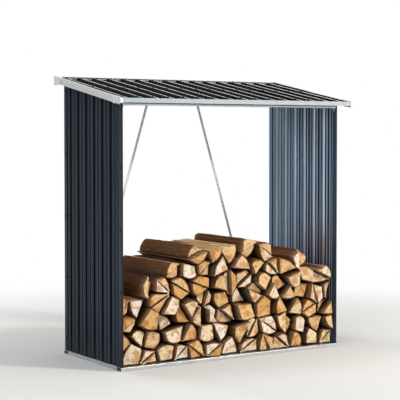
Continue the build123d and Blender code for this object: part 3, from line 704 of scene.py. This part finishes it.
def make_log(samples, others, front, back, uncovered, rng, store, reach, bed):
    """Adds one detailed log to the course's lists of points, faces and attributes.

    It bellies out half way along, to fill the gaps to its neighbours. It is kept within reach to
    each side, where the walls are, and above the bed it lies on."""
    count = len(samples)
    flat = np.array([(x, z) for x, z, _, _ in samples])
    before = np.roll(flat, 1, axis=0)
    after = np.roll(flat, -1, axis=0)
    tangent = after - before
    tangent /= np.linalg.norm(tangent, axis=1)[:, None]
    outward = np.stack([tangent[:, 1], -tangent[:, 0]], axis=1)
    middle = flat.mean(axis=0)
    seed = rng.uniform(0, 400)
    rough = rng.uniform(0.6, 1.3)
    tone = rng.random()
    barked = [i for i in range(count) if samples[i][2]]
    if barked:
        bark_middle = flat[barked].mean(axis=0)
        outwards = bark_middle - middle
        length = max(np.linalg.norm(outwards), 0.001)
        pith = middle - outwards / length * rng.uniform(*bark_to_pith)
    else:
        turn = rng.uniform(0, math.tau)
        pith = middle + np.array([math.cos(turn), math.sin(turn)]) * rng.uniform(*middle_to_pith)
    side_tones = []
    for sample in samples:
        if sample[3] or not side_tones:
            side_tones.append(rng.random())
        else:
            side_tones.append(side_tones[-1])
    slant_front = (rng.uniform(-most_slant, most_slant), rng.uniform(-most_slant, most_slant))
    slant_back = (rng.uniform(-most_slant, most_slant), rng.uniform(-most_slant, most_slant))
    slim = (rng.uniform(0.0, most_slim), rng.uniform(0.0, most_slim))
    bow = (rng.uniform(-sideways_bow, sideways_bow), rng.uniform(-upward_bow, upward_bow))
    belly = bellied(flat, outward, others) * (1 - aired_flatness * uncovered)
    length = back - front
    rows = [front + d for d in end_rows + middle_rows if d < length - last_row_clear]
    rows += [back - d for d in end_rows[::-1]]
    spin = rng.uniform(0, math.tau)
    base = len(store["points"])
    edges = []
    for j, y in enumerate(rows):
        ring = []
        along = (y - front) / length
        midway = min(1.3 * math.sin(math.pi * along), 1.0)
        near_front = max(1 - along / slim_share, 0)
        near_back = max(1 - (1 - along) / slim_share, 0)
        girth = 1 - slim[0] * near_front ** 2 - slim[1] * near_back ** 2
        for i, (x, z, is_bark, is_corner) in enumerate(samples):
            s = i * sample_gap
            inward = sunk(s, y, is_bark, rough, seed)
            if is_corner:
                inward += 0.0008 + corner_wear * fibre(0.0, y / 0.05, seed + i)
            if j in (0, len(rows) - 1):
                inward += 0.0006 + end_wear * fibre(s / 0.02, 0.0, seed + 21 + j)
            x -= outward[i][0] * (inward - belly[i] * midway) - bow[0] * midway
            z -= outward[i][1] * (inward - belly[i] * midway) - bow[1] * midway
            x = middle[0] + (x - middle[0]) * girth
            z = middle[1] + (z - middle[1]) * girth
            ring.append((min(max(x, -reach), reach), max(z, bed)))
        edges.append(ring)

    def lean(slant, x, z):
        return slant[0] * (x - middle[0]) + slant[1] * (z - middle[1])

    for j, (y, ring) in enumerate(zip(rows, edges)):
        from_back = len(rows) - 1 - j
        for x, z in ring:
            shift = 0.0
            if j < len(end_rows):
                shift = lean(slant_front, x, z) * (1 - j / len(end_rows))
            if from_back < len(end_rows):
                shift = lean(slant_back, x, z) * (1 - from_back / len(end_rows))
            store["points"].append((x, y + shift, z))
    for j in range(len(rows) - 1):
        for i in range(count):
            k = (i + 1) % count
            a = base + j * count
            store["faces"].append((a + i, a + count + i, a + count + k, a + k))
            store["finish"].append(on_bark if samples[i][2] else on_split)
            store["side"].append(side_tones[i])
    back_base = base + (len(rows) - 1) * count
    for ring_base, slant, is_front in ((base, slant_front, True), (back_base, slant_back, False)):
        side_y = rows[0] if is_front else rows[-1]
        last = list(range(ring_base, ring_base + count))
        rim = edges[0] if is_front else edges[-1]
        inner = []
        for i, (x, z) in enumerate(rim):
            depth = bark_thickness if samples[i][2] else splinter_width
            inner.append((x - outward[i][0] * depth, z - outward[i][1] * depth))
        rings = [inner]
        for t in ring_shares:
            rings.append([(middle[0] + (x - middle[0]) * t, middle[1] + (z - middle[1]) * t)
                          for x, z in inner])
        sign = -1.0 if is_front else 1.0
        for depth, ring in enumerate(rings):
            fresh = []
            for x, z in ring:
                uneven = fibre(x / 0.02, z / 0.02, seed + 31) - 0.5
                bulge = end_unevenness * uneven + (end_bulge if depth else rim_bulge)
                fresh.append(len(store["points"]))
                store["points"].append((x, side_y + lean(slant, x, z) + sign * bulge, z))
            for i in range(count):
                k = (i + 1) % count
                quad = (last[i], last[k], fresh[k], fresh[i])
                store["faces"].append(quad if is_front else quad[::-1])
                store["finish"].append(on_bark if depth == 0 and samples[i][2] else on_sawn)
                store["side"].append(side_tones[i])
            last = fresh
        hub = len(store["points"])
        store["points"].append((middle[0], side_y + sign * end_bulge, middle[1]))
        for i in range(count):
            k = (i + 1) % count
            triangle = (last[i], last[k], hub)
            store["faces"].append(triangle if is_front else triangle[::-1])
            store["finish"].append(on_sawn)
            store["side"].append(side_tones[i])
    made = len(store["points"]) - base
    # The share that falls from 1 at each end to 0 a few centimetres in drives the painted light near
    # the ends.
    for x, y, z in store["points"][base:]:
        store["grain"].append((x - pith[0], y + seed, z - pith[1]))
        store["end_light"].append(max(0.0, 1 - min(y - front, back - y) / end_light_depth))
    store["open"] += [uncovered * rng.uniform(0.55, 1.0)] * made
    store["tone"] += [tone] * made
    store["spin"] += [spin] * made
    edge_points = len(rows) * count
    capped = [0.35] * count + [1.0] * (count * len(ring_shares) + 1)
    store["rim"] += [0.0] * edge_points + capped + capped


def painted_deep_shade(tree, colour, uncovered, end_light):
    """The colour darkened as painted shade along logs that lie under others, less towards each end."""
    unshaded = add(tree, "Math", {0: uncovered, 1: end_light}, operation="MAXIMUM")
    shade_factor = add(tree, "MapRange", {0: unshaded, 1: 0.1, 2: 0.6, 3: 0.28, 4: 1.0})
    return add(tree, "VectorMath", {0: colour, "Scale": shade_factor}, operation="SCALE")


# Split face: planed by no tool, so long pale and dark fibres, dull and slightly furry. On logs
# that lie open, faces turned up and to the right are painted lighter as painted sunlight, and on
# every log the side faces are painted paler towards each end as painted light.
painted_sun_way = (0.6, -0.1, 0.8)
split_wood, tree, shader = new_finish("Split hardwood, torn along the fibre")
grain = add(tree, "Attribute", attribute_name="grain").outputs["Vector"]
own = add(tree, "Attribute", attribute_name="side").outputs["Fac"]
fibres = stretched_noise(tree, grain, (330.0, 9.0, 330.0), 6.0, 0.65)
bands = stretched_noise(tree, grain, (42.0, 3.0, 42.0), 4.0, 0.55)
light = add(tree, "ValToRGB", {0: own}, [
    (0.0, "7a4625"), (0.2, "9a6236"), (0.4, "633a1c"), (0.6, "925a2a"), (0.75, "b67f45"),
    (0.9, "bf894f"), (1.0, "7c4924")])
uncovered = add(tree, "Attribute", attribute_name="open").outputs["Fac"]
# Painted sunlight: faces of open logs turned up and to the right are made lighter, and their dark
# fibres paler.
normal = add(tree, "NewGeometry").outputs["Normal"]
sunward = add(tree, "VectorMath", {0: normal, 1: painted_sun_way}, operation="DOT_PRODUCT")
upward = add(tree, "MapRange", {0: sunward, 1: 0.48, 2: 0.74, 3: 0.0, 4: 1.0})
smears = stretched_noise(tree, grain, (32.0, 3.6, 32.0), 5.0, 0.62)
clear = add(tree, "MapRange", {0: smears, 1: 0.4, 2: 0.5, 3: 0.35, 4: 1.0})
painted_sun = add(tree, "Math", {0: uncovered, 1: upward}, operation="MULTIPLY")
painted_sun = add(tree, "Math", {0: painted_sun, 1: clear}, operation="MULTIPLY")
# Painted light: side faces turn paler towards each end of a log.
end_light = add(tree, "Attribute", attribute_name="end_light").outputs["Fac"]
end_lit = add(tree, "Math", {0: end_light, 1: 0.75}, operation="MULTIPLY")
light = add(tree, "Mix", {"Factor": end_lit, "A": light, "B": linear("dbb78a")}, data_type="RGBA")
light = add(tree, "Mix", {"Factor": painted_sun, "A": light, "B": linear("ffdda6")}, data_type="RGBA")
shade = add(tree, "Mix", {"Factor": painted_sun, "A": linear("38190a"), "B": linear("a96c34")},
            data_type="RGBA")
darkening = add(tree, "Math", {0: painted_sun, 1: -0.35, 2: 0.6}, operation="MULTIPLY_ADD")
dark = add(tree, "Mix", {"Factor": darkening, "A": light, "B": shade}, data_type="RGBA")
lines = add(tree, "MapRange", {0: fibres, 1: 0.36, 2: 0.66})
banded = add(tree, "MapRange", {0: bands, 1: 0.35, 2: 0.68})
both = add(tree, "Math", {0: lines, 1: banded}, operation="MULTIPLY")
colour = add(tree, "Mix", {"Factor": both, "A": dark, "B": light}, data_type="RGBA")
# Painted shade along logs that lie under others.
shaded = painted_deep_shade(tree, colour, uncovered, end_light)
torn = add(tree, "Bump", {"Height": fibres, "Strength": 0.7, "Distance": 0.0012})
join(tree, shader, {"Base Color": shaded, "Normal": torn, "Roughness": 0.82, "Specular IOR Level": 0.3})

# Saw-cut end: cream to tan wood with faint growth rings, rays that run out from the pith, warm
# damp patches, drying cracks, edges that darken towards the rim and the rough marks of a chain saw.
# The rings are about 3 mm apart and drawn at 7 mm, and the rays under 1 mm and drawn at 2 mm.
ring_gap = 0.007
ray_count = 28.0
sawn_wood, tree, shader = new_finish("Saw-cut hardwood end grain")
grain = add(tree, "Attribute", attribute_name="grain").outputs["Vector"]
own = add(tree, "Attribute", attribute_name="tone").outputs["Fac"]
spin = add(tree, "Attribute", attribute_name="spin").outputs["Fac"]
parts = add(tree, "SeparateXYZ", {0: grain})
level = add(tree, "CombineXYZ", {0: parts.outputs["X"], 1: parts.outputs["Z"], 2: spin})
uneven = add(tree, "TexNoise", {"Vector": level, "Scale": 26.0, "Detail": 2.0, "Roughness": 0.45})
flat = add(tree, "CombineXYZ", {0: parts.outputs["X"], 1: parts.outputs["Z"]})
radius = add(tree, "VectorMath", {0: flat}, operation="LENGTH")
bend = add(tree, "Math", {0: uneven, 1: 0.018, 2: radius}, operation="MULTIPLY_ADD")
turns = add(tree, "Math", {0: bend, 1: math.tau / ring_gap}, operation="MULTIPLY")
wave = add(tree, "Math", {0: turns}, operation="SINE")
rings = add(tree, "MapRange", {0: wave, 1: -0.2, 2: 1.0})
sap = add(tree, "ValToRGB", {0: own}, [
    (0.0, "e6b269"), (0.12, "f6d6a4"), (0.24, "e0a75d"), (0.36, "fdf1da"), (0.5, "eebf7d"),
    (0.62, "fae7c3"), (0.74, "fffaf0"), (0.84, "dda254"), (0.93, "f3d39f"), (1.0, "eab870")])
heart = add(tree, "ValToRGB", {0: own}, [
    (0.0, "b46c2c"), (0.36, "cf9a5e"), (0.5, "bd7836"), (0.74, "d2a670"), (1.0, "b97636")])
patch = add(tree, "MapRange", {0: uneven, 1: 0.46, 2: 0.66, 3: 0.0, 4: 0.85},
            interpolation_type="SMOOTHSTEP")
saw_place = add(tree, "VectorRotate", {"Vector": flat, "Angle": spin}, rotation_type="Z_AXIS")
flecks = stretched_noise(tree, saw_place, (34.0, 130.0, 1.0), 3.0, 0.55)
hearted = add(tree, "Mix", {"Factor": patch, "A": sap, "B": heart}, data_type="RGBA")
angle = add(tree, "Math", {0: parts.outputs["Z"], 1: parts.outputs["X"]}, operation="ARCTAN2")
turned = add(tree, "Math", {0: angle, 1: spin}, operation="ADD")
fan = add(tree, "Math", {0: angle, 1: ray_count}, operation="MULTIPLY")
out_along = add(tree, "Math", {0: radius, 1: 22.0}, operation="MULTIPLY")
rays_place = add(tree, "CombineXYZ", {0: fan, 1: out_along, 2: spin})
rays = add(tree, "TexNoise", {"Vector": rays_place, "Scale": 1.0, "Detail": 2.0, "Roughness": 0.5})
ray = add(tree, "MapRange", {0: rays, 1: 0.5, 2: 0.7, 3: 0.0, 4: 0.5})
rayed = add(tree, "Mix", {"Factor": ray, "A": hearted, "B": linear("ab7a45")}, data_type="RGBA")
ringed_share = add(tree, "Math", {0: rings, 1: 0.16}, operation="MULTIPLY")
ringed = add(tree, "Mix", {"Factor": ringed_share, "A": rayed, "B": linear("a8713a")}, data_type="RGBA")
grime_and_dark_rim = add(tree, "MapRange", {0: flecks, 1: 0.54, 2: 0.68, 3: 0.0, 4: 0.5})
# The ends darken towards their rim.
from_rim = add(tree, "Attribute", attribute_name="rim").outputs["Fac"]
dark_rim = add(tree, "MapRange", {0: from_rim, 1: 0.0, 2: 0.42, 3: 0.9, 4: 0.0})
grime_and_dark_rim = add(tree, "Math", {0: grime_and_dark_rim, 1: dark_rim}, operation="MAXIMUM")
darkened = add(tree, "Mix", {"Factor": grime_and_dark_rim, "A": ringed, "B": linear("5f3d22")}, data_type="RGBA")
crooked = add(tree, "Math", {0: uneven, 1: 0.5, 2: turned}, operation="MULTIPLY_ADD")
many = add(tree, "Math", {0: crooked, 1: 3.0}, operation="MULTIPLY")
wedge = add(tree, "Math", {0: many}, operation="SINE")
wedge = add(tree, "Math", {0: wedge}, operation="ABSOLUTE")
width = add(tree, "Math", {0: wedge, 1: radius}, operation="MULTIPLY")
crack = add(tree, "MapRange", {0: width, 1: 0.0008, 2: 0.0022, 3: 1.0, 4: 0.0})
opened = add(tree, "MapRange", {0: flecks, 1: 0.46, 2: 0.5})
crack = add(tree, "Math", {0: crack, 1: opened}, operation="MULTIPLY")
cracked = add(tree, "Mix", {"Factor": crack, "A": darkened, "B": linear("3a2412")}, data_type="RGBA")
saw = stretched_noise(tree, saw_place, (60.0, 520.0, 1.0), 3.0)
rough_height = add(tree, "Math", {0: saw, 1: crack}, operation="SUBTRACT")
sawn = add(tree, "Bump", {"Height": rough_height, "Strength": 0.4, "Distance": 0.002})
join(tree, shader, {"Base Color": cracked, "Normal": sawn, "Roughness": 0.8, "Specular IOR Level": 0.3})

# Bark: a dry grey-brown skin with long fissures, paler on its ridges.
bark, tree, shader = new_finish("Dry fissured bark")
grain = add(tree, "Attribute", attribute_name="grain").outputs["Vector"]
own = add(tree, "Attribute", attribute_name="side").outputs["Fac"]
scales = stretched_noise(tree, grain, (110.0, 22.0, 110.0), 6.0, 0.7)
skin = add(tree, "ValToRGB", {0: own}, [
    (0.0, "6e482c"), (0.25, "845c39"), (0.5, "5a4236"), (0.7, "916a42"), (0.85, "6a4d38"),
    (1.0, "7b6858")])
uncovered = add(tree, "Attribute", attribute_name="open").outputs["Fac"]
skin = add(tree, "Mix", {"Factor": uncovered, "A": skin, "B": linear("7f5331")}, data_type="RGBA")
deep = add(tree, "Mix", {"Factor": 0.62, "A": skin, "B": linear("2a1a10")}, data_type="RGBA")
ridge = add(tree, "MapRange", {0: scales, 1: 0.34, 2: 0.58})
colour = add(tree, "Mix", {"Factor": ridge, "A": deep, "B": skin}, data_type="RGBA")
end_light = add(tree, "Attribute", attribute_name="end_light").outputs["Fac"]
# Painted shade along logs that lie under others, as on the split faces.
shaded = painted_deep_shade(tree, colour, uncovered, end_light)
fissured = add(tree, "Bump", {"Height": scales, "Strength": 0.9, "Distance": 0.003})
join(tree, shader, {"Base Color": shaded, "Normal": fissured, "Roughness": 0.9,
                    "Specular IOR Level": 0.2})

courses = {n: log_prisms(nodes[n]) for n in sorted(nodes) if n.startswith("log_course_")}
outlines = [outline for prisms in courses.values() for outline, _, _ in prisms]
middles = [np.mean(outline, axis=0) for outline in outlines]
rims = [np.array([sample[:2] for sample in sampled(outline)]) for outline in outlines]
stack_reach = max(abs(x) for outline in outlines for x, _ in outline)
stack_bed = min(z for outline in outlines for _, z in outline)
for name, prisms in courses.items():
    course_rng = random.Random(name)
    store = {"points": [], "faces": [], "finish": [], "grain": [],
             "side": [], "open": [], "tone": [], "spin": [], "rim": [], "end_light": []}
    for outline, front, back in prisms:
        samples = sampled(outline)
        own = np.array([sample[:2] for sample in samples])
        others = np.concatenate([rim for rim in rims if not np.array_equal(rim, own)])
        # Logs with another just above them get painted shade along their sides; the others get painted
        # sunlight.
        x, z = np.mean(outline, axis=0)
        covered = any(abs(other[0] - x) < covered_reach and other[1] > z + covered_rise
                      for other in middles)
        make_log(samples, others, front, back, 0.0 if covered else 1.0, course_rng, store, stack_reach,
                 stack_bed)
    mesh = bpy.data.meshes.new("split_" + name)
    mesh.from_pydata(store["points"], [], store["faces"])
    for finish in (split_wood, sawn_wood, bark):
        mesh.materials.append(finish)
    mesh.polygons.foreach_set("material_index", store["finish"])
    mesh.polygons.foreach_set("use_smooth", [True] * len(store["faces"]))
    mesh.set_sharp_from_angle(angle=math.radians(sharp_angle))
    grains = mesh.attributes.new("grain", "FLOAT_VECTOR", "POINT")
    grains.data.foreach_set("vector", np.ravel(store["grain"]))
    for trait in ("side", "open", "tone", "spin", "rim", "end_light"):
        domain = "FACE" if trait == "side" else "POINT"
        mesh.attributes.new(trait, "FLOAT", domain).data.foreach_set("value", store[trait])
    mesh.validate()
    course = bpy.data.objects.new("split_" + name, mesh)
    bpy.context.collection.objects.link(course)
    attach(course, "root")
    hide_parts(name)
